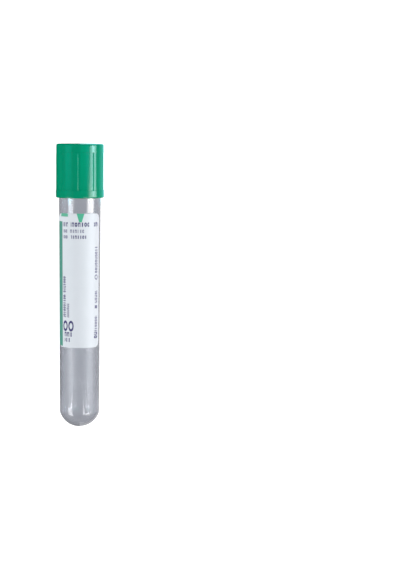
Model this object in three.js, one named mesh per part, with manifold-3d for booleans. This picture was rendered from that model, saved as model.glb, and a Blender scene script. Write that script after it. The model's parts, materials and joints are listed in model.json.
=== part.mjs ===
// Evacuated blood collection tube of the 16 x 100 mm, 10 mL format, with a ribbed safety closure.
// Millimetres, +Z up. Every piece is modelled round one axis, +Y, with y = 0 at the tip of the round
// bottom and +Z through the front of the label. The finished tube lies on the bench as it comes to
// rest: on the lower band of its closure and on the edge of its round bottom, closure towards +Y.
import * as THREE from "three";
import { mergeVertices } from "three/addons/utils/BufferGeometryUtils.js";
import Module from "manifold-3d";

// Tube: clear PET, widening slightly from the bottom to the mouth.
const tubeLength = 100; // from the rim to the tip of the round bottom
const mouthRadius = 7.86; // outside, at the rim
const draft = 0.0051; // growth of the radius per millimetre towards the mouth
const wallThickness = 1.0;
const bottomHeight = 5.5; // of the shallow round bottom
const bottomBlend = 3.0; // radius between the round bottom and the wall
const rimRounding = 0.35;

// Stopper: butyl rubber, pressed into the mouth and seated on the rim.
const plugLength = 11.5; // below the rim
const plugWall = 2.2; // round the recess in the end of the plug
const plugLeadIn = 1.2;
const sealWidth = 2.4;
const sealDepths = [8.0, 3.2]; // middle of each sealing ring, below the rim
const seatStepHeight = 1.2; // narrow foot of the flange, which sits on the rim
const flangeHeight = 5.0; // from the seat to the top of the stopper
const wellRadius = 3.5; // needle well in the top
const wellDepth = 3.6;
const septumThickness = 4.5; // rubber between the well and the recess

// Closure shield: green plastic, over the stopper and the mouth of the tube.
const shieldHeight = 20.15;
const shieldTopThickness = 1.4;
const skirtWall = 0.65; // between the ribs
const topBandHeight = 3.2;
const topBandStep = 0.08; // how far the band stands out from the wall between the ribs
const bottomBandHeight = 2.9;
const bottomBandStep = 0.2;
const bandRounding = 0.5;
const ribCount = 9;
const ribHeight = 0.17; // just under the step of the bottom band
const ribTipWidth = 0.3;
const ribFootWidth = 1.5; // with the hollow fillet on either side
const firstRibAngle = -4.7; // degrees from +Z towards +X, as is every angle here
const needleHoleMargin = 0.85; // of rubber that shows round the well
const needleHoleChamfer = 0.45;
const skirtLeadIn = 0.3; // widening of the skirt's mouth
const skirtLeadInHeight = 0.8;
const retainerReach = 0.45; // ring inside, which holds the stopper's flange
const retainerWidth = 0.4;
const retainerHeight = 0.1; // of its lower edge above the seat

// Label: printed film, stuck round the front half of the tube.
const labelThickness = 0.12;
const labelWidth = 19.2; // along the wrap
const labelHeight = 50.35;
const labelDrop = 5.65; // from the closure's lower edge to the label's upper edge
const labelMiddleAngle = -4;
const labelCornerRadius = 2.2;

// Clearances
const seatGap = 0.3; // between faces that rest on each other
const skirtGap = 0.29; // between the shield's skirt and the tube's mouth
const flangeGap = 0.25; // between the stopper's flange and the shield
const footGap = 0.35; // between the flange's foot and the ring that holds it
const sealGap = 0.15; // between the sealing rings and the bore
const neckGap = 0.4; // between the plug and the bore, away from the sealing rings
const labelGap = 0.06; // for the adhesive

// Facets of every round piece. The number is even, so that a flat faces +Z and another faces -Z.
const facets = 48;
const chordTolerance = 0.03; // between a curved profile and its chords

const wasm = await Module();
wasm.setup();

// Points of an arc about a centre, its steps as long as the chord tolerance lets them be.
function arc([x, y], radius, from, to) {
  const step = 2 * Math.acos(1 - chordTolerance / radius);
  const count = Math.max(1, Math.ceil(Math.abs(to - from) / step));
  return Array.from({ length: count + 1 }, (_, i) => {
    const angle = from + ((to - from) * i) / count;
    return [x + radius * Math.cos(angle), y + radius * Math.sin(angle)];
  });
}

// An outline with straight sides between its corners. A corner is [x, y] or [x, y, rounding].
function outline(corners) {
  return corners.flatMap(([x, y, rounding = 0], i) => {
    const corner = new THREE.Vector2(x, y);
    if (!rounding) return [corner];
    const back = new THREE.Vector2(...corners.at(i - 1)).sub(corner).normalize();
    const ahead = new THREE.Vector2(...corners[(i + 1) % corners.length]).sub(corner).normalize();
    const half = Math.acos(back.dot(ahead)) / 2;
    const middle = back.clone().add(ahead).normalize();
    const centre = corner.clone().addScaledVector(middle, rounding / Math.sin(half));
    const from = Math.atan2(-middle.y, -middle.x);
    const sweep = (Math.PI / 2 - half) * Math.sign(back.cross(ahead));
    const points = arc([centre.x, centre.y], rounding, from + sweep, from - sweep);
    return points.map(([px, py]) => new THREE.Vector2(px, py));
  });
}

// A solid of revolution about +Y from half a section, which starts and ends on the axis or closes.
function turned(corners) {
  const section = outline(corners);
  if (section[0].x > 1e-6) section.push(section[0].clone());
  if (THREE.ShapeUtils.area(section) < 0) section.reverse();
  return new THREE.LatheGeometry(section, facets, Math.PI / facets);
}

// A shape in the plane across the axis, extruded along +Y from one height to another.
function raised(shape, bottom, top, curveSegments) {
  const geometry = new THREE.ExtrudeGeometry(shape, {
    depth: top - bottom,
    bevelEnabled: false,
    curveSegments,
  });
  return geometry.rotateX(-Math.PI / 2).translate(0, bottom, 0);
}

function solid(geometry) {
  const bare = geometry.clone();
  bare.deleteAttribute("normal");
  bare.deleteAttribute("uv");
  const merged = mergeVertices(bare, 1e-4);
  return new wasm.Manifold(
    new wasm.Mesh({
      numProp: 3,
      vertProperties: merged.attributes.position.array,
      triVerts: new Uint32Array(merged.index.array),
    }),
  );
}

function geometryOf(manifold) {
  const mesh = manifold.getMesh();
  const geometry = new THREE.BufferGeometry();
  geometry.setAttribute("position", new THREE.BufferAttribute(mesh.vertProperties, 3));
  geometry.setIndex(new THREE.BufferAttribute(mesh.triVerts, 1));
  const faceted = geometry.toNonIndexed();
  faceted.computeVertexNormals();
  return faceted;
}

function piece(name, geometry, look) {
  const mesh = new THREE.Mesh(geometry, new THREE.MeshStandardMaterial(look));
  mesh.name = name;
  return mesh;
}

// Angles are measured from +Z towards +X. A shape that raised() extrudes has its own x and y axes.
const acrossAxis = (angle) => THREE.MathUtils.degToRad(angle) - Math.PI / 2;

// ---- Tube ----

const outsideAt = (height) => mouthRadius - draft * (tubeLength - height);
const boreAt = (height) => outsideAt(height) - wallThickness;

// The round bottom is part of a sphere, blended into the wall by an arc tangent to both.
const bottomSphere = (bottomHeight ** 2 + outsideAt(bottomHeight) ** 2) / (2 * bottomHeight);
const wallLean = Math.atan(draft);
const blendCentre = (() => {
  // It lies bottomBlend inside the wall's line, and bottomBlend inside the sphere.
  const base = outsideAt(0) - bottomBlend / Math.cos(wallLean);
  const a = 1 + draft ** 2;
  const b = 2 * (draft * base - bottomSphere);
  const c = base ** 2 + bottomSphere ** 2 - (bottomSphere - bottomBlend) ** 2;
  const y = (-b - Math.sqrt(b ** 2 - 4 * a * c)) / (2 * a);
  return [base + draft * y, y];
})();

// The outside of the round bottom from its tip to the wall, or a surface parallel to it inside.
function roundBottom(inset) {
  const [x, y] = blendCentre;
  const meeting = Math.atan2(y - bottomSphere, x);
  return [
    ...arc([0, bottomSphere], bottomSphere - inset, -Math.PI / 2, meeting),
    ...arc(blendCentre, bottomBlend - inset, meeting, -wallLean).slice(1),
  ];
}

function tube() {
  return turned([
    ...roundBottom(0),
    [mouthRadius, tubeLength, rimRounding],
    [boreAt(tubeLength), tubeLength, rimRounding],
    ...roundBottom(wallThickness).reverse(),
  ]);
}

// ---- Stopper ----

const skirtBore = mouthRadius + skirtGap;
const seat = tubeLength + seatGap;
const plugBottom = tubeLength - plugLength;
const flangeUnderside = seat + seatStepHeight;
const stopperTop = seat + flangeHeight;
const wellFloor = stopperTop - wellDepth;

// A low round crest on the plug.
function sealingRing(depth) {
  const middle = tubeLength - depth;
  const rise = neckGap - sealGap;
  const radius = ((sealWidth / 2) ** 2 + rise ** 2) / (2 * rise);
  const half = Math.asin(sealWidth / 2 / radius);
  return arc([boreAt(middle) - sealGap - radius, middle], radius, -half, half);
}

function stopper() {
  const plugRadius = boreAt(plugBottom) - neckGap;
  const recessRadius = plugRadius - plugWall;
  const footRadius = skirtBore - retainerReach - footGap;
  const flangeRadius = skirtBore - flangeGap;
  return turned([
    [0, wellFloor - septumThickness],
    [recessRadius, wellFloor - septumThickness, 1],
    [recessRadius, plugBottom, 0.3],
    [plugRadius - plugLeadIn / 2, plugBottom, 0.3],
    [plugRadius, plugBottom + plugLeadIn],
    ...sealDepths.flatMap(sealingRing),
    [boreAt(tubeLength) - neckGap, seat],
    [footRadius, seat, 0.2],
    [footRadius, flangeUnderside],
    [flangeRadius, flangeUnderside, 0.2],
    [flangeRadius, stopperTop, 0.6],
    [wellRadius, stopperTop, 0.4],
    [wellRadius, wellFloor, 0.8],
    [0, wellFloor],
  ]);
}

// ---- Closure shield ----

const shieldTop = stopperTop + seatGap + shieldTopThickness;
const shieldBottom = shieldTop - shieldHeight;
const gripBottom = shieldBottom + bottomBandHeight;
const gripTop = shieldTop - topBandHeight;
const gripRadius = skirtBore + skirtWall;
const topBandRadius = gripRadius + topBandStep;
const bottomBandRadius = gripRadius + bottomBandStep;

// The ribbed wall between the bands: each rib stands on two hollow fillets.
function ribbedOutline() {
  const shape = new THREE.Shape();
  const tipRadius = gripRadius + ribHeight;
  const footHalf = THREE.MathUtils.radToDeg(ribFootWidth / 2 / gripRadius);
  const tipHalf = THREE.MathUtils.radToDeg(ribTipWidth / 2 / tipRadius);
  const at = (radius, angle) => [
    radius * Math.cos(acrossAxis(angle)),
    radius * Math.sin(acrossAxis(angle)),
  ];
  for (let rib = 0; rib < ribCount; rib++) {
    const middle = firstRibAngle + (rib * 360) / ribCount;
    const nextFoot = middle + 360 / ribCount - footHalf;
    if (rib === 0) shape.moveTo(...at(gripRadius, middle - footHalf));
    shape.quadraticCurveTo(...at(gripRadius, middle - tipHalf), ...at(tipRadius, middle - tipHalf));
    shape.lineTo(...at(tipRadius, middle + tipHalf));
    shape.quadraticCurveTo(...at(gripRadius, middle + tipHalf), ...at(gripRadius, middle + footHalf));
    shape.absarc(0, 0, gripRadius, acrossAxis(middle + footHalf), acrossAxis(nextFoot), false);
  }
  return shape;
}

function closureShield() {
  const bandOverlap = 0.2; // of each band with the ribbed wall, so that they join
  const topBand = turned([
    [0, gripTop],
    [topBandRadius, gripTop],
    [topBandRadius, shieldTop, bandRounding],
    [0, shieldTop],
  ]);
  const bottomBand = turned([
    [0, shieldBottom],
    [bottomBandRadius, shieldBottom, bandRounding],
    [bottomBandRadius, gripBottom],
    [0, gripBottom],
  ]);
  const grip = raised(ribbedOutline(), gripBottom - bandOverlap, gripTop + bandOverlap, 3);
  const ringRadius = skirtBore - retainerReach;
  const ringBottom = seat + retainerHeight;
  const ringTop = ringBottom + retainerWidth;
  const holeRadius = wellRadius + needleHoleMargin;
  const cavity = turned([
    [0, shieldBottom - 1],
    [skirtBore + skirtLeadIn, shieldBottom - 1],
    [skirtBore + skirtLeadIn, shieldBottom],
    [skirtBore, shieldBottom + skirtLeadInHeight],
    [skirtBore, ringBottom - retainerReach],
    [ringRadius, ringBottom],
    [ringRadius, ringTop],
    [skirtBore, ringTop + retainerReach / 2],
    [skirtBore, shieldTop - shieldTopThickness],
    [holeRadius, shieldTop - shieldTopThickness],
    [holeRadius, shieldTop - needleHoleChamfer],
    [holeRadius + needleHoleChamfer, shieldTop],
    [holeRadius + needleHoleChamfer, shieldTop + 1],
    [0, shieldTop + 1],
  ]);
  return geometryOf(solid(grip).add(solid(topBand)).add(solid(bottomBand)).subtract(solid(cavity)));
}

// ---- Label ----

const labelTop = shieldBottom - labelDrop;
const labelBottom = labelTop - labelHeight;
const labelInside = (height) => outsideAt(height) + labelGap;
const labelOutside = (height) => labelInside(height) + labelThickness;
const wrapRadius = labelInside((labelBottom + labelTop) / 2);
const wrapAngle = (length) => THREE.MathUtils.radToDeg(length / wrapRadius);
const cutReach = 2 * mouthRadius; // past everything that is cut

// What the rounding takes off one corner: side is 1 for the edge towards +X, end is 1 for the top.
function labelCorner(side, end) {
  const r = labelCornerRadius;
  const past = 0.5;
  const points = [[-r, past], ...arc([-r, -r], r, Math.PI / 2, 0), [past, -r], [past, past]];
  const shape = new THREE.Shape(points.map(([x, y]) => new THREE.Vector2(side * (x + r / 2), end * y)));
  const angle = labelMiddleAngle + side * wrapAngle(labelWidth / 2 - r / 2);
  return new THREE.ExtrudeGeometry(shape, { depth: cutReach, bevelEnabled: false })
    .translate(0, end > 0 ? labelTop : labelBottom, 0)
    .rotateY(THREE.MathUtils.degToRad(angle));
}

function label() {
  const sleeve = turned([
    [labelInside(labelBottom), labelBottom],
    [labelOutside(labelBottom), labelBottom],
    [labelOutside(labelTop), labelTop],
    [labelInside(labelTop), labelTop],
  ]);
  const halfWrap = wrapAngle(labelWidth / 2);
  const sector = new THREE.Shape();
  sector.absarc(
    0,
    0,
    cutReach,
    acrossAxis(labelMiddleAngle - halfWrap),
    acrossAxis(labelMiddleAngle + halfWrap),
    false,
  );
  sector.lineTo(0, 0);
  let film = solid(sleeve).intersect(solid(raised(sector, labelBottom - 1, labelTop + 1, 12)));
  for (const side of [-1, 1]) {
    for (const end of [-1, 1]) film = film.subtract(solid(labelCorner(side, end)));
  }
  return geometryOf(film);
}

// ---- Assembly ----

// The closure's pieces come off together.
const closure = new THREE.Group();
closure.add(
  piece("closure_shield", closureShield(), { color: 0x07946c, roughness: 0.3, metalness: 0 }),
  piece("stopper", stopper(), { color: 0x5a5c60, roughness: 0.7, metalness: 0 }),
);

const uprightTube = new THREE.Group();
uprightTube.add(
  piece("tube", tube(), {
    color: 0xb9bdc6,
    roughness: 0.15,
    metalness: 0,
    transparent: true,
    opacity: 0.4,
  }),
  piece("label", label(), { color: 0xe6e8f0, roughness: 0.5, metalness: 0 }),
  closure,
);

// On a flat surface the axis leans by the slope of the line that touches the rounding of the
// closure's lower band and the blend of the round bottom.
const [blendX, blendY] = blendCentre;
const acrossRest = bottomBandRadius - bandRounding - blendX;
const alongRest = shieldBottom + bandRounding - blendY;
const restLean =
  Math.atan2(acrossRest, alongRest) -
  Math.asin((bottomBlend - bandRounding) / Math.hypot(acrossRest, alongRest));
uprightTube.rotation.x = restLean;

// The origin is on the bench, under the middle of the tube.
uprightTube.updateMatrixWorld(true);
const extent = new THREE.Box3().setFromObject(uprightTube, true);
const middle = extent.getCenter(new THREE.Vector3());
uprightTube.position.set(-middle.x, -middle.y, -extent.min.z);

const bloodCollectionTube = new THREE.Group();
bloodCollectionTube.add(uprightTube);

export default bloodCollectionTube;
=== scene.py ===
import json
import math

import bmesh
import bpy
from mathutils import Matrix, Vector


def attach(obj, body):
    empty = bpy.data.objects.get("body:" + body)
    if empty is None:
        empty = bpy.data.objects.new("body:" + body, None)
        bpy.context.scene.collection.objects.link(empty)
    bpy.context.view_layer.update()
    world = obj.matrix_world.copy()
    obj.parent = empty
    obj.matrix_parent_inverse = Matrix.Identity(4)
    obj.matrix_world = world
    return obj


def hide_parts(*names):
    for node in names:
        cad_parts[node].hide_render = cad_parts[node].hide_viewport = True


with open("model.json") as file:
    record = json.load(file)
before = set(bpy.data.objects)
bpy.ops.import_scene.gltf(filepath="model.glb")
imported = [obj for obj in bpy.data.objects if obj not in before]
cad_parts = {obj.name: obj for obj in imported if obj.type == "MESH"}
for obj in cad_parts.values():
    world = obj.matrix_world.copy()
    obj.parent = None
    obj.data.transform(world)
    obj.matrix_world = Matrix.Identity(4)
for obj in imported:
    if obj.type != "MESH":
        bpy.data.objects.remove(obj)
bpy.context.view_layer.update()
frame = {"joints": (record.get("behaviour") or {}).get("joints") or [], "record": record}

# ---- Clear tube ----
# Injection-moulded PET, a little wider at the mouth so that it comes off its core, with a shallow
# round bottom. A fine dried film of additive, sprayed in, makes the lower part of the bore hazy.
tube_length = 100.0
mouth_radius = 7.86
wall_thickness = 1.0
draft = 0.0051
rim_rounding = 0.35
bottom_sphere = 7.6987
knuckle_centre = (4.3806, 5.9992)
sphere_sweep = 68.795
knuckle_sweep = 20.913
tube_steps = 160


def draw_arc(section, start, centre, degrees, steps):
    """Draws an arc by spinning a point of the section about a centre. Returns its last point."""
    arc = bmesh.ops.spin(
        section,
        geom=[start],
        cent=(*centre, 0),
        axis=(0, 0, 1),
        dvec=(0, 0, 0),
        angle=math.radians(degrees),
        steps=steps,
        use_merge=False,
        use_duplicate=False,
    )
    return arc["geom_last"][0]


def draw_sides(section, start, corners, end=None):
    """Draws straight sides from a point through corners, each (radius, height) or with a rounding
    after them, and on to the end if there is one. Returns the last corner."""
    points = [section.verts.new((x, y, 0)) for x, y, *_ in corners]
    path = [start, *points] + ([end] if end else [])
    for one, other in zip(path, path[1:]):
        section.edges.new((one, other))
    for point, (_, _, *rounding) in zip(points, corners):
        if rounding:
            one, other = (edge.other_vert(point).co - point.co for edge in point.link_edges)
            bmesh.ops.bevel(
                section,
                geom=[point],
                offset=rounding[0] / math.tan(one.angle(other) / 2),
                offset_type="OFFSET",
                segments=5,
                profile=0.5,
                affect="VERTICES",
                material=-1,
            )
    return path[len(corners)]


def turn(section, steps):
    """Turns everything drawn in the section into a closed skin round the tube's axis. A point close
    to each end of a long side keeps the side's shading straight next to a rounding."""
    from_end = 0.12
    for side in section.edges[:]:
        length = side.calc_length()
        if length > 1:
            _, point = bmesh.utils.edge_split(side, side.verts[0], from_end / length)
            rest = max(point.link_edges, key=lambda part: part.calc_length())
            bmesh.utils.edge_split(rest, point, 1 - from_end / rest.calc_length())
    bmesh.ops.spin(
        section,
        geom=section.verts[:] + section.edges[:],
        cent=(0, 0, 0),
        axis=(0, 1, 0),
        dvec=(0, 0, 0),
        angle=math.tau,
        steps=steps,
        use_merge=True,
        use_duplicate=False,
    )
    bmesh.ops.remove_doubles(section, verts=section.verts, dist=1e-4)
    bmesh.ops.recalc_face_normals(section, faces=section.faces)


def draw_wall(section, inset):
    """Draws one face of the tube's wall, from the tip of the round bottom up to the rim."""
    tip = section.verts.new((0, inset, 0))
    knuckle = draw_arc(section, tip, (0, bottom_sphere), sphere_sweep, 24)
    return draw_arc(section, knuckle, knuckle_centre, knuckle_sweep, 10)


tube = bmesh.new()
outside = draw_wall(tube, 0)
bore = draw_wall(tube, wall_thickness)
draw_sides(
    tube,
    outside,
    [
        (mouth_radius, tube_length, rim_rounding),
        (mouth_radius - wall_thickness, tube_length, rim_rounding),
    ],
    bore,
)
turn(tube, tube_steps)
for face in tube.faces:
    middle = face.calc_center_median()
    radius = math.hypot(middle.x, middle.z)
    wall_middle = mouth_radius - draft * (tube_length - middle.y) - wall_thickness / 2
    sphere_middle = bottom_sphere - wall_thickness / 2
    in_bottom = middle.y < knuckle_centre[1]
    from_centre = math.hypot(radius, middle.y - bottom_sphere) if in_bottom else radius
    face.material_index = int(from_centre < (sphere_middle if in_bottom else wall_middle))

# Every piece is shaped upright in millimetres, with the tip of the round bottom at the origin, +Y
# up the tube and +Z out through the front of the label. It is then laid on its side on the bench,
# which the closure's lower band and the edge of the round bottom touch.
millimetre = 0.001
tube_axis = Vector(frame["joints"][0]["axis"]).normalized()
label_front = Vector((1, 0, 0)).cross(tube_axis)
closure_height = 107.0
ring_middle_radius = 6.6
ring_point = Vector(frame["record"]["mounts"][0]["pos_m"])
closure_top = ring_point - label_front * ring_middle_radius * millimetre
bottom_tip = closure_top - tube_axis * closure_height * millimetre
resting_lean = math.atan2(tube_axis.z, tube_axis.y)
sharpest_rounding = 32


def lay_down(shape, name, finishes):
    """Lays an upright shape on the bench, as a finished piece."""
    laid_down = Matrix.Rotation(resting_lean, 4, "X") @ Matrix.Scale(millimetre, 4)
    bmesh.ops.transform(
        shape, matrix=Matrix.Translation(bottom_tip) @ laid_down, verts=shape.verts
    )
    mesh = bpy.data.meshes.new(name)
    shape.to_mesh(mesh)
    shape.free()
    mesh.shade_smooth()
    mesh.set_sharp_from_angle(angle=math.radians(sharpest_rounding))
    for finish in finishes:
        mesh.materials.append(finish)
    piece = bpy.data.objects.new(name, mesh)
    bpy.context.scene.collection.objects.link(piece)
    return piece


class Wire:
    """A socket of a finish's nodes. An operator on wires adds a Math node. A comparison makes a
    mask of 0 and 1, and masks combine with & and |."""

    def __init__(self, tree, socket=None):
        self.tree = tree
        self.socket = socket

    def node(self, kind, settings=None, sockets=None, output=0):
        """Adds a node of a type, makes its settings, then sets or links its input sockets."""
        made = self.tree.nodes.new(kind)
        for setting, value in (settings or {}).items():
            setattr(made, setting, value)
        for socket, value in (sockets or {}).items():
            if isinstance(value, Wire):
                self.tree.links.new(value.socket, made.inputs[socket])
            else:
                made.inputs[socket].default_value = value
        return Wire(self.tree, made.outputs[output] if made.outputs else None)

    def maths(self, operation, *values):
        return self.node("ShaderNodeMath", {"operation": operation}, dict(enumerate(values)))

    def __add__(self, other):
        return self.maths("ADD", self, other)

    def __sub__(self, other):
        return self.maths("SUBTRACT", self, other)

    def __rsub__(self, other):
        return self.maths("SUBTRACT", other, self)

    def __mul__(self, other):
        return self.maths("MULTIPLY", self, other)

    def __pow__(self, other):
        return self.maths("POWER", self, other)

    def __mod__(self, other):
        return self.maths("MODULO", self, other)

    def __abs__(self):
        return self.maths("ABSOLUTE", self)

    def __gt__(self, other):
        return self.maths("GREATER_THAN", self, other)

    def __lt__(self, other):
        return self.maths("LESS_THAN", self, other)

    def __or__(self, other):
        return self.maths("MAXIMUM", self, other)

    __radd__ = __add__
    __rmul__ = __and__ = __mul__


def new_finish(name):
    """A new finish, and the wire of the upright tube's own coordinates in millimetres."""
    finish = bpy.data.materials.new(name)
    finish.use_nodes = True
    finish.node_tree.nodes.clear()
    place = Wire(finish.node_tree).node("ShaderNodeTexCoord", output="Object")
    upright = place.node(
        "ShaderNodeMapping",
        {"vector_type": "TEXTURE"},
        {
            "Vector": place,
            "Location": bottom_tip,
            "Rotation": (resting_lean, 0, 0),
            "Scale": (millimetre, millimetre, millimetre),
        },
    )
    return finish, upright


def noise(upright, scale, detail=2.0, roughness=0.5, stretch=(1, 1, 1)):
    """A cloudy pattern between 0 and 1, its scale in patches per millimetre."""
    stretched = upright.node(
        "ShaderNodeVectorMath", {"operation": "MULTIPLY"}, {0: upright, 1: stretch}
    )
    return upright.node(
        "ShaderNodeTexNoise",
        None,
        {"Vector": stretched, "Scale": scale, "Detail": detail, "Roughness": roughness},
    )


def blend(share, one, other):
    """A colour between two."""
    return share.node(
        "ShaderNodeMix", {"data_type": "RGBA"}, {0: share, 6: one, 7: other}, output=2
    )


def coat(upright, sockets):
    """Ends a finish in one surface shader with these sockets."""
    surface = upright.node("ShaderNodeBsdfPrincipled", None, sockets)
    upright.node("ShaderNodeOutputMaterial", None, {"Surface": surface})


pet_index = 1.575
clear_pet, upright = new_finish("clear_pet")
cloud = noise(upright, 0.25)
streaks = noise(upright, 0.9, 3.0, 0.6, (1, 0.04, 1))
ripple = upright.node(
    "ShaderNodeBump", None, {"Strength": 0.025, "Distance": 0.00001, "Height": streaks}
)
coat(
    upright,
    {
        "Base Color": blend(cloud, (0.78, 0.79, 0.82, 1), (0.80, 0.81, 0.84, 1)),
        "Roughness": 0.018 + 0.03 * streaks,
        "IOR": pet_index,
        "Transmission Weight": 1.0,
        "Normal": ripple,
    },
)

film_top = 78.0
film_bottom = 9.0
film_edge = 6.0
coated_bore, upright = new_finish("coated_bore")
height = upright.node("ShaderNodeSeparateXYZ", None, {0: upright}, output="Y")
film = upright.node(
    "ShaderNodeMapRange",
    None,
    {"Value": height, "From Min": film_top + film_edge, "From Max": film_top - film_edge},
) * upright.node(
    "ShaderNodeMapRange",
    None,
    {"Value": height, "From Min": film_bottom - film_edge, "From Max": film_bottom + film_edge},
)
speckle = noise(upright, 3.0, 4.0, 0.7)
coat(
    upright,
    {
        "Base Color": blend(speckle, (0.97, 0.97, 0.98, 1), (1, 1, 1, 1)),
        "Roughness": 0.02 + film * (0.10 + 0.25 * speckle),
        "IOR": pet_index,
        "Transmission Weight": 1.0,
    },
)
pet_tube = lay_down(tube, "pet_tube", [clear_pet, coated_bore])
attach(pet_tube, "tube")
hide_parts("tube")

# ---- Label ----
# Printed plastic film with rounded corners, stuck round the front half of the tube. The print is
# a green edge stripe, a green pointer, a green tab and lines of small marks where text would be.
label_width = 18.85
label_height = 50.35
label_bottom = 30.85
label_thickness = 0.12
label_gap = 0.06
label_middle_angle = -5.3
label_corner = 2.2
wrap_radius = mouth_radius - draft * (tube_length - label_bottom - label_height / 2) + label_gap

label = bmesh.new()
film_corners = [(0, 0), (label_width, 0), (label_width, label_height), (0, label_height)]
label.faces.new([label.verts.new((x, y, 0)) for x, y in film_corners])
bmesh.ops.bevel(
    label,
    geom=label.verts[:],
    offset=label_corner,
    offset_type="OFFSET",
    segments=8,
    profile=0.5,
    affect="VERTICES",
    material=-1,
)
columns = 64
for column in range(1, columns):
    bmesh.ops.bisect_plane(
        label,
        geom=label.verts[:] + label.edges[:] + label.faces[:],
        dist=1e-6,
        plane_co=(label_width * column / columns, 0, 0),
        plane_no=(1, 0, 0),
    )
bmesh.ops.recalc_face_normals(label, faces=label.faces)
bmesh.ops.solidify(label, geom=label.faces[:], thickness=label_thickness)
print_map = label.loops.layers.uv.new("print")
for face in label.faces:
    for corner in face.loops:
        corner[print_map].uv = (
            corner.vert.co.x / label_width,
            corner.vert.co.y / label_height,
        )
lowest = min(point.co.z for point in label.verts)
for face in label.faces:
    on_back = max(corner.co.z for corner in face.verts) < lowest + label_thickness / 2
    face.material_index = int(on_back)
for point in label.verts:
    around = math.radians(label_middle_angle) + (point.co.x - label_width / 2) / wrap_radius
    height = label_bottom + point.co.y
    out = mouth_radius - draft * (tube_length - height) + label_gap + point.co.z - lowest
    point.co = (out * math.sin(around), height, out * math.cos(around))
bmesh.ops.recalc_face_normals(label, faces=label.faces)

label_film, upright = new_finish("label_film")
across, down = (
    upright.node(
        "ShaderNodeSeparateXYZ",
        None,
        {0: upright.node("ShaderNodeUVMap", {"uv_map": "print"})},
        output=axis,
    )
    for axis in ("X", "Y")
)
across = across * label_width
down = (1 - down) * label_height


def patch(left, right, top, bottom):
    """Where the print lies between these millimetres from the label's left and upper edges."""
    return (across > left) & (across < right) & (down > top) & (down < bottom)


stripe = patch(-1, 2.72, 3.05, 49.9)
tab = patch(1.9, 5.6, -1, 1.2)
pointer_middle = 10.35
pointer_half_width = 1.42
pointer_taper = 0.29
pointer_tip = 3.2
pointer = (abs(across - pointer_middle) < pointer_half_width - pointer_taper * down) & (
    down < pointer_tip
)


def marks(along, below, height):
    """Round, arched and straight marks side by side, in the place of letters."""
    width = 0.56 * height
    pitch = 1.3 * width
    start = along - along % pitch
    kind = start.node("ShaderNodeTexWhiteNoise", {"noise_dimensions": "1D"}, {"W": start})
    last_ring, last_arch = 0.45, 0.8
    sideways = abs(along % pitch - pitch / 2) * (2 / width)
    upwards = abs(below * (2 / height) - 1)
    from_middle = (sideways * sideways + upwards * upwards) ** 0.5
    ring = (from_middle < 1.1) & (from_middle > 0.35) & (kind < last_ring)
    leg_or_top = (sideways > 0.35) | (below < 0.3 * height)
    arch = (sideways < 1) & leg_or_top & (kind > last_ring) & (kind < last_arch)
    post = (sideways < 0.5) & (kind > last_arch)
    return ring | arch | post


def printed_line(top, bottom, *words):
    """A line of print as small marks, its words each from a left to a right edge."""
    spans = [patch(left, right, top, bottom) for left, right in words]
    return sum(spans) & marks(across, down - top, bottom - top)


def printed_column(left, right, *words):
    """The same for print that reads along the tube, its words each from a top to a bottom edge."""
    spans = [patch(left, right, top, bottom) for top, bottom in words]
    return sum(spans) & marks(down, right - across, right - left)


def oval(middle, height, half_width, half_height, line):
    """A drawn oval: its middle across and down, its half sizes and the width of its line."""
    sideways, lengthways = across - middle, (down - height) * (half_width / half_height)
    distance = (sideways * sideways + lengthways * lengthways) ** 0.5
    return (distance > half_width - line) & (distance < half_width)


bold_print = (
    printed_line(3.3, 4.9, (3.1, 5.5), (6.7, 13.6), (15.7, 17.8))
    | printed_line(8.15, 9.4, (6.8, 12.7))
    | printed_column(3.2, 4.4, (23.6, 29.6), (30.4, 39.0))
    | printed_line(44.5, 46.2, (3.9, 7.2))
    | printed_line(46.7, 48.2, (3.9, 6.4))
    | printed_column(16.0, 17.85, (44.0, 47.4))
    | oval(4.25, 42.2, 1.1, 2.05, 0.5)
    | oval(6.75, 42.2, 1.1, 2.05, 0.5)
)
light_print = (
    printed_line(5.95, 7.2, (3.2, 5.2), (6.2, 9.6), (10.2, 11.6))
    | printed_line(8.15, 9.4, (3.2, 5.6))
    | printed_column(16.35, 17.75, (12.15, 22.5), (29.0, 33.8), (38.5, 43.6))
    | printed_column(4.9, 6.0, (33.8, 39.0))
    | patch(16.35, 17.75, 34.5, 35.7)
    | oval(17.05, 23.9, 0.85, 1.0, 0.35)
)

film_shade = noise(upright, 0.2, 2.0)
film_colour = blend(film_shade, (0.563, 0.591, 0.639, 1), (0.598, 0.626, 0.674, 1))
green_cover = 0.93
thin_green_cover = 0.87
light_cover = 0.9
striped = blend(stripe * green_cover, film_colour, (0.025, 0.244, 0.175, 1))
greened = blend(
    tab * thin_green_cover | pointer * green_cover, striped, (0.012, 0.364, 0.205, 1)
)
lightly_inked = blend(light_print * light_cover, greened, (0.09, 0.08, 0.19, 1))
inked = blend(bold_print, lightly_inked, (0.04, 0.03, 0.15, 1))
grain = noise(upright, 6.0, 3.0, 0.6)
tooth = upright.node(
    "ShaderNodeBump", None, {"Strength": 0.12, "Distance": 0.00001, "Height": grain}
)
coat(
    upright,
    {"Base Color": inked, "Roughness": 0.42 + 0.12 * grain, "IOR": 1.49, "Normal": tooth},
)
label_back, upright = new_finish("label_back")
glue = noise(upright, 1.5, 4.0, 0.65)
coat(
    upright,
    {
        "Base Color": blend(glue, (0.68, 0.68, 0.66, 1), (0.76, 0.76, 0.75, 1)),
        "Roughness": 0.5 + 0.2 * glue,
    },
)
print_label = lay_down(label, "print_label", [label_film, label_back])
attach(print_label, "tube")
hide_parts("label")

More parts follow.
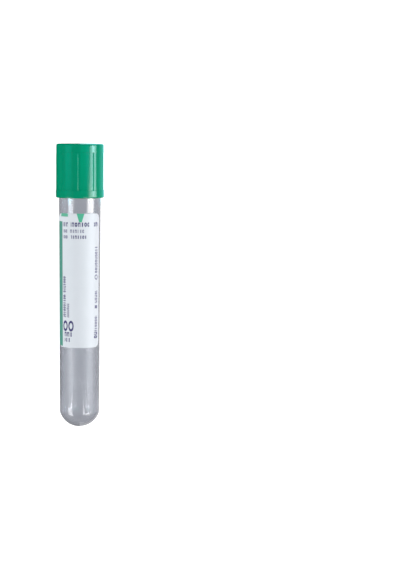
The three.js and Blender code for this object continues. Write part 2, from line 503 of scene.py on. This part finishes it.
# ---- Rubber stopper ----
# Moulded grey butyl rubber: a plug with two sealing rings and a recessed end, pressed into the
# mouth, and a flange on the rim with a well in its top that guides the needle.
stopper_steps = 128
stopper_top = 105.3
flange_radius = 7.9
flange_bottom = 101.5
seat_radius = 7.35
seat_height = 100.3
well_radius = 3.5
well_floor = 101.7
recess_radius = 4.2
recess_ceiling = 97.2
plug_end = 88.5
seal_sweep = 46.99
seal_steps = 8
stopper = bmesh.new()
recess_middle = stopper.verts.new((0, recess_ceiling, 0))
plug_foot = draw_sides(
    stopper,
    recess_middle,
    [
        (recess_radius, recess_ceiling, 1.0),
        (recess_radius, plug_end, 0.3),
        (5.8, plug_end, 0.3),
        (6.4, 89.7),
    ],
)
lower_seal = stopper.verts.new((6.41, 90.8, 0))
stopper.edges.new((plug_foot, lower_seal))
lower_seal = draw_arc(stopper, lower_seal, (3.65, 92.0), seal_sweep, seal_steps)
upper_seal = draw_sides(stopper, lower_seal, [(6.45, 95.6)])
upper_seal = draw_arc(stopper, upper_seal, (3.68, 96.8), seal_sweep, seal_steps)
well_middle = stopper.verts.new((0, well_floor, 0))
draw_sides(
    stopper,
    upper_seal,
    [
        (6.46, seat_height),
        (seat_radius, seat_height, 0.2),
        (seat_radius, flange_bottom),
        (flange_radius, flange_bottom, 0.2),
        (flange_radius, stopper_top, 0.6),
        (well_radius, stopper_top, 0.4),
        (well_radius, well_floor, 0.8),
    ],
    well_middle,
)
turn(stopper, stopper_steps)

butyl_rubber, upright = new_finish("butyl_rubber")
mottle = noise(upright, 0.8, 4.0, 0.6)
pores = noise(upright, 9.0, 3.0, 0.7)
skin = upright.node(
    "ShaderNodeBump", None, {"Strength": 0.35, "Distance": 0.00003, "Height": pores}
)
coat(
    upright,
    {
        "Base Color": blend(mottle, (0.085, 0.088, 0.095, 1), (0.13, 0.134, 0.142, 1)),
        "Roughness": 0.55 + 0.25 * mottle,
        "IOR": 1.5,
        "Normal": skin,
    },
)
rubber_stopper = lay_down(stopper, "rubber_stopper", [butyl_rubber])
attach(rubber_stopper, "closure")
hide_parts("stopper")

# ---- Closure shield ----
# Moulded green polypropylene: a skirt with nine low grip ribs between two bands, and a flat top
# with the needle hole. It covers the stopper and the tube's mouth, and comes off with the stopper.
shield_steps = 720
shield_top = closure_height
grip_radius = 8.8
shield_bottom = 86.85
grip_bottom = 89.75
grip_top = 103.8
top_band_radius = 8.88
bottom_band_radius = 9.0
rib_count = 9
first_rib = -5.6
rib_height = 0.14
rib_spread = 0.15
rib_run_out = 0.9
hole_radius = 4.35
ceiling = 105.6
skirt_bore = 8.15
retainer_radius = 7.7
shield = bmesh.new()
hole_edge = shield.verts.new((hole_radius, ceiling, 0))
draw_sides(
    shield,
    hole_edge,
    [
        (hole_radius, shield_top - 0.45, 0.15),
        (hole_radius + 0.45, shield_top, 0.15),
        (top_band_radius, shield_top, 0.5),
        (top_band_radius, grip_top, 0.06),
        (grip_radius, grip_top),
        (grip_radius, grip_top - 0.2),
        (grip_radius, grip_top - 0.5),
        (grip_radius, grip_top - rib_run_out),
        (grip_radius, grip_bottom + 0.9),
        (grip_radius, grip_bottom + 0.4),
        (grip_radius, grip_bottom),
        (bottom_band_radius, grip_bottom, 0.12),
        (bottom_band_radius, shield_bottom, 0.5),
        (skirt_bore + 0.3, shield_bottom, 0.1),
        (skirt_bore, shield_bottom + 0.8),
        (skirt_bore, 99.95),
        (retainer_radius, 100.4, 0.1),
        (retainer_radius, 100.8, 0.1),
        (skirt_bore, 101.025),
        (skirt_bore, ceiling, 0.2),
    ],
    hole_edge,
)
bmesh.ops.rotate(
    shield,
    verts=shield.verts,
    cent=(0, 0, 0),
    matrix=Matrix.Rotation(math.radians(first_rib), 3, "Y"),
)
turn(shield, shield_steps)
hair = 0.01
for point in shield.verts:
    radius = math.hypot(point.co.x, point.co.z)
    if abs(radius - grip_radius) < hair and grip_bottom - hair < point.co.y < grip_top + hair:
        around = math.degrees(math.atan2(point.co.x, point.co.z)) - first_rib
        from_rib = (around + 180 / rib_count) % (360 / rib_count) - 180 / rib_count
        rise = rib_height * math.exp(-((math.radians(from_rib) * grip_radius / rib_spread) ** 2))
        below_band = min(rib_run_out, max(0, grip_top - point.co.y))
        rise *= math.sqrt(1 - (1 - below_band / rib_run_out) ** 2)
        point.co.x *= 1 + rise / radius
        point.co.z *= 1 + rise / radius

green_polypropylene, upright = new_finish("green_polypropylene")
flow = noise(upright, 0.5, 3.0, 0.55)
fine = noise(upright, 5.0, 2.0, 0.5)
mould_skin = upright.node(
    "ShaderNodeBump", None, {"Strength": 0.10, "Distance": 0.00002, "Height": fine}
)
coat(
    upright,
    {
        "Base Color": blend(flow, (0.0, 0.216, 0.114, 1), (0.0, 0.236, 0.128, 1)),
        "Roughness": 0.08 + 0.06 * flow,
        "IOR": 1.49,
        "Normal": mould_skin,
    },
)
ribbed_shield = lay_down(shield, "ribbed_shield", [green_polypropylene])
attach(ribbed_shield, "closure")
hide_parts("closure_shield")

# ---- Bench, lights and camera ----
# A pale bench, even light from all round, soft boxes, and a camera that looks down on the tube.
# They go by the kind of ray so as to match the photo, which no real studio does. The bench glows.
# Through the clear plastic it is grey, and mirrored it is dark but for a pale strip on the tube's
# right, which is green-blue at the closure. The even light is weaker through the plastic and isn't
# mirrored except inside it. A soft box shows in glossy pieces or lights them, never both, and
# those that the closure mirrors are tinted green-blue.
bench_half = 3.0
bench_drop = 0.00002
bench = bmesh.new()
bmesh.ops.create_grid(bench, x_segments=1, y_segments=1, size=bench_half)
bench_mesh = bpy.data.meshes.new("bench")
bench.to_mesh(bench_mesh)
bench.free()
bench_top = bpy.data.objects.new("bench", bench_mesh)
bench_top.location.z = -bench_drop
bpy.context.scene.collection.objects.link(bench_top)
bench_white, upright = new_finish("bench_white")
through_plastic = upright.node("ShaderNodeLightPath", output="Is Transmission Ray")
mirrored = upright.node("ShaderNodeLightPath", output="Is Glossy Ray") & (1 - through_plastic)
beside, along = (
    upright.node("ShaderNodeSeparateXYZ", None, {0: upright}, output=axis) for axis in ("X", "Y")
)
near_closure = upright.node(
    "ShaderNodeMapRange", None, {"Value": along, "From Min": 82.0, "From Max": 88.0}
)
# Mirrored, the bench is dark but for a painted reflection: a pale strip on the tube's right,
# green-blue near the closure.
near_right = (beside > 0) * upright.node(
    "ShaderNodeMapRange",
    None,
    {
        "Value": beside,
        "From Min": 7.0,
        "From Max": 28.0 + 40.0 * near_closure,
        "To Min": 1.0,
        "To Max": 0.1,
    },
)
near_light = blend(near_closure, (0.8, 0.8, 0.8, 1), (0.4, 1.3, 1.5, 1))
# Seen through the plastic, the bench's glow is darker towards the closure and round the tip of the
# round bottom: a painted shadow of the tube on the bench.
near_shade = upright.node(
    "ShaderNodeMapRange",
    None,
    {"Value": along, "From Min": 70.0, "From Max": 82.0, "To Min": 1.0, "To Max": 0.86},
) * upright.node(
    "ShaderNodeMapRange",
    None,
    {"Value": along, "From Min": -3.0, "From Max": 6.0, "To Min": 0.6, "To Max": 1.0},
)
paint = blend(through_plastic, (0.90, 0.90, 0.90, 1), (0.12, 0.12, 0.12, 1))
shaded_glow = blend(near_shade, (0, 0, 0, 1), (0.455, 0.468, 0.52, 1))
glow = blend(through_plastic, (0.55, 0.55, 0.55, 1), shaded_glow)
coat(
    upright,
    {
        "Base Color": blend(mirrored, paint, (0, 0, 0, 1)),
        "Roughness": 0.9,
        "Specular IOR Level": 0.0,
        "Emission Color": blend(mirrored, glow, blend(near_right, (0, 0, 0, 1), near_light)),
        "Emission Strength": 1.0,
    },
)
bench_mesh.materials.append(bench_white)


def soft_box(name, low, high, near, far, radiance, colour, mirrored=True):
    """A soft box that faces the tube from 0.7 m, between two angles from straight up towards +X
    and between two places along +Y. One that is mirrored shows in glossy pieces and lights
    nothing; another does the opposite."""
    distance = 0.7
    tube_centre_height = 0.009
    middle = math.radians((low + high) / 2)
    width = 2 * distance * math.tan(math.radians(high - low) / 2)
    lamp = bpy.data.lights.new(name, "AREA")
    lamp.shape = "RECTANGLE"
    lamp.size = width
    lamp.size_y = far - near
    lamp.energy = radiance * math.pi * width * (far - near)
    lamp.color = colour
    box = bpy.data.objects.new(name, lamp)
    box.location = (
        distance * math.sin(middle),
        (near + far) / 2,
        distance * math.cos(middle) + tube_centre_height,
    )
    box.rotation_euler = (0, middle, 0)
    box.visible_diffuse = not mirrored
    box.visible_glossy = mirrored
    box.visible_transmission = mirrored
    box.visible_camera = False
    bpy.context.scene.collection.objects.link(box)


# The right box is brightest along its middle and fades towards its edges.
for low, high, share in ((50, 86, 0.30), (56, 80, 0.35), (61, 74, 0.35)):
    soft_box("right_box_head", low, high, -0.003, 0.09, 23.0 * share, (0.61, 0.91, 1.0))
for low, high, share in ((37, 86, 0.12), (42, 86, 0.20), (47, 85, 0.33), (53, 79, 0.35)):
    soft_box("right_box_neck", low, high, -0.02, -0.003, 11.0 * share, (0.98, 0.97, 0.95))
    soft_box("right_box", low, high, -0.112, -0.02, 9.5 * share, (1.0, 0.95, 0.90))
for low, high, share in ((46, 90, 0.55), (54, 80, 0.45)):
    soft_box("right_box_foot", low, high, -0.41, -0.112, 1.2 * share, (0.95, 0.97, 1.0))
soft_box("right_spark", 20, 68, -0.6, -0.186, 4.2, (1, 1, 1))
soft_box("left_spark", -72, -45, -0.8, -0.173, 5.0, (1, 1, 1))
soft_box("left_glow", -76, -42, 0.0, 0.2, 1.3, (0.0, 1.0, 0.92))
soft_box("front_glow", 2, 46, 0.0, 0.2, 1.4, (0.0, 1.0, 0.62))
soft_box("blue_glow", 28, 46, 0.0, 0.2, 0.9, (0.0, 0.5, 1.0))
soft_box("right_wash", 30, 80, -0.5, 0.5, 1.8, (1, 1, 1), mirrored=False)
soft_box("left_wash", -85, -35, -0.5, 0.5, 1.4, (0.95, 1, 1), mirrored=False)

studio = bpy.data.worlds.new("studio")
studio.use_nodes = True
air = Wire(studio.node_tree)
through_plastic = air.node("ShaderNodeLightPath", output="Is Transmission Ray")
mirrored = air.node("ShaderNodeLightPath", output="Is Glossy Ray") & (1 - through_plastic)
inside_plastic = air.node("ShaderNodeLightPath", output="Transmission Depth") > 0.5
strength = (0.72 - 0.3 * through_plastic) * (1 - mirrored) + 0.3 * (mirrored & inside_plastic)
studio.node_tree.links.new(
    strength.socket, studio.node_tree.nodes["Background"].inputs["Strength"]
)
studio.node_tree.nodes["Background"].inputs["Color"].default_value = (1, 1, 1, 1)
bpy.context.scene.world = studio
bpy.context.scene.view_settings.view_transform = "Standard"

camera_rise = 0.010
camera_distance = 0.670
camera_lens = 112.3
camera_roll = 0.45
tube_left_of_middle = 0.0455
camera_aim = 0.0004
camera_place = closure_top + tube_axis * camera_rise + label_front * camera_distance
look_at = (bottom_tip + closure_top) / 2 + Vector((tube_left_of_middle, camera_aim, 0))
back = (camera_place - look_at).normalized()
right = tube_axis.cross(back).normalized()
lens = bpy.data.cameras.new("camera")
lens.lens = camera_lens
lens.sensor_width = 36
camera = bpy.data.objects.new("camera", lens)
turned = Matrix((right, back.cross(right), back)).transposed()
turned = turned @ Matrix.Rotation(math.radians(camera_roll), 3, "Z")
camera.matrix_world = Matrix.Translation(camera_place) @ turned.to_4x4()
bpy.context.scene.collection.objects.link(camera)
bpy.context.scene.camera = camera
